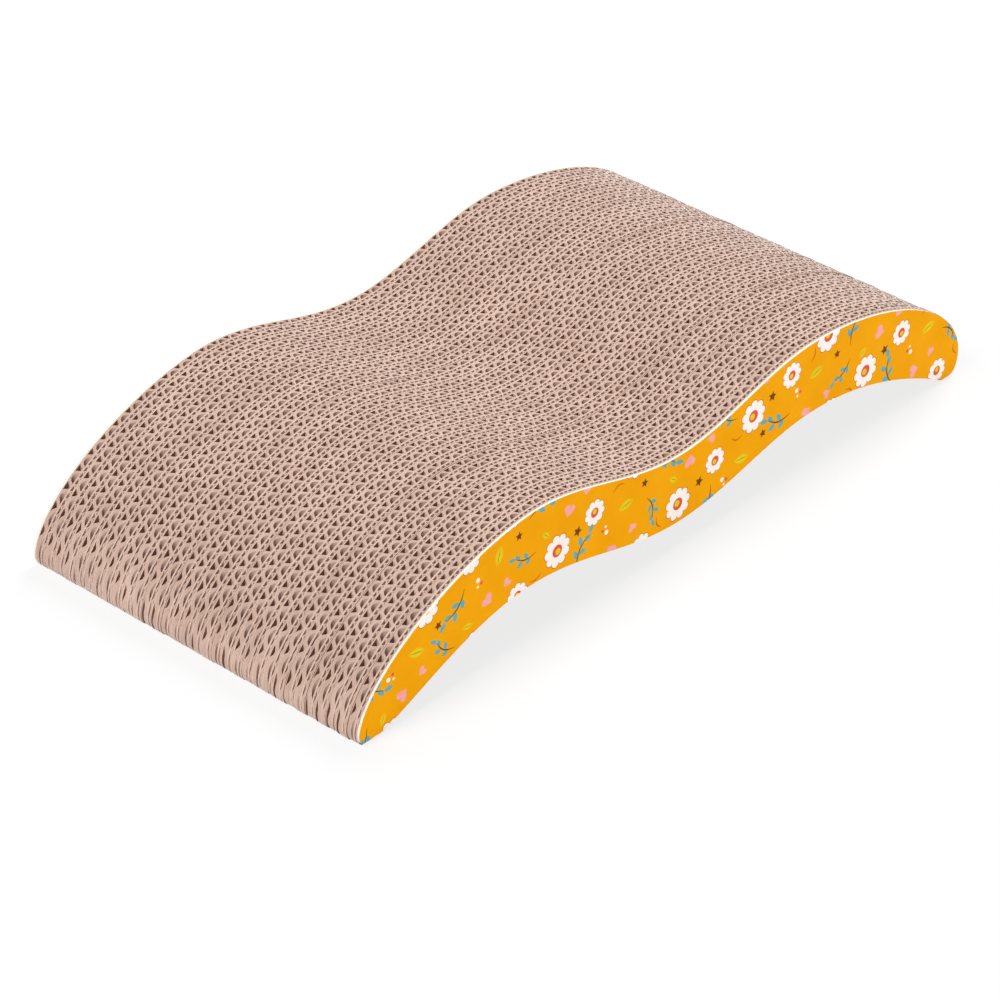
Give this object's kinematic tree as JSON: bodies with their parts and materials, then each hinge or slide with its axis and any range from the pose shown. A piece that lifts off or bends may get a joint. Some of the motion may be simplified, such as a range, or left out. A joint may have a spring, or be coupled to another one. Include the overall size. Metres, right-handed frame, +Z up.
{
  "type": "cat scratcher",
  "caption": "Low wave-shaped cat scratching board of upright corrugated cardboard boards glued side by side between printed card side covers, standing on its two ends.",
  "frame": {"origin": "on the floor, below the middle of the part", "axes": "+X along the length, over both crests; +Y across the boards, towards the back cover; +Z up"},
  "size_m": [0.43, 0.213, 0.0698],
  "materials": {
    "corrugated_cardboard": "matte",
    "printed_card": "satin"
  },
  "bodies": {
    "root": {"side_cover_back": "printed_card", "corrugated_board_01": "corrugated_cardboard", "corrugated_board_02": "corrugated_cardboard", "corrugated_board_03": "corrugated_cardboard", "corrugated_board_04": "corrugated_cardboard", "corrugated_board_05": "corrugated_cardboard", "corrugated_board_06": "corrugated_cardboard", "corrugated_board_07": "corrugated_cardboard", "corrugated_board_08": "corrugated_cardboard", "corrugated_board_09": "corrugated_cardboard", "corrugated_board_10": "corrugated_cardboard", "corrugated_board_11": "corrugated_cardboard", "corrugated_board_12": "corrugated_cardboard", "corrugated_board_13": "corrugated_cardboard", "corrugated_board_14": "corrugated_cardboard", "corrugated_board_15": "corrugated_cardboard", "corrugated_board_16": "corrugated_cardboard", "corrugated_board_17": "corrugated_cardboard", "corrugated_board_18": "corrugated_cardboard", "corrugated_board_19": "corrugated_cardboard", "corrugated_board_20": "corrugated_cardboard", "corrugated_board_21": "corrugated_cardboard", "corrugated_board_22": "corrugated_cardboard", "corrugated_board_23": "corrugated_cardboard", "corrugated_board_24": "corrugated_cardboard", "corrugated_board_25": "corrugated_cardboard", "corrugated_board_26": "corrugated_cardboard", "corrugated_board_27": "corrugated_cardboard", "corrugated_board_28": "corrugated_cardboard", "corrugated_board_29": "corrugated_cardboard", "corrugated_board_30": "corrugated_cardboard", "corrugated_board_31": "corrugated_cardboard", "corrugated_board_32": "corrugated_cardboard", "side_cover_front": "printed_card"}
  },
  "joints": []
}
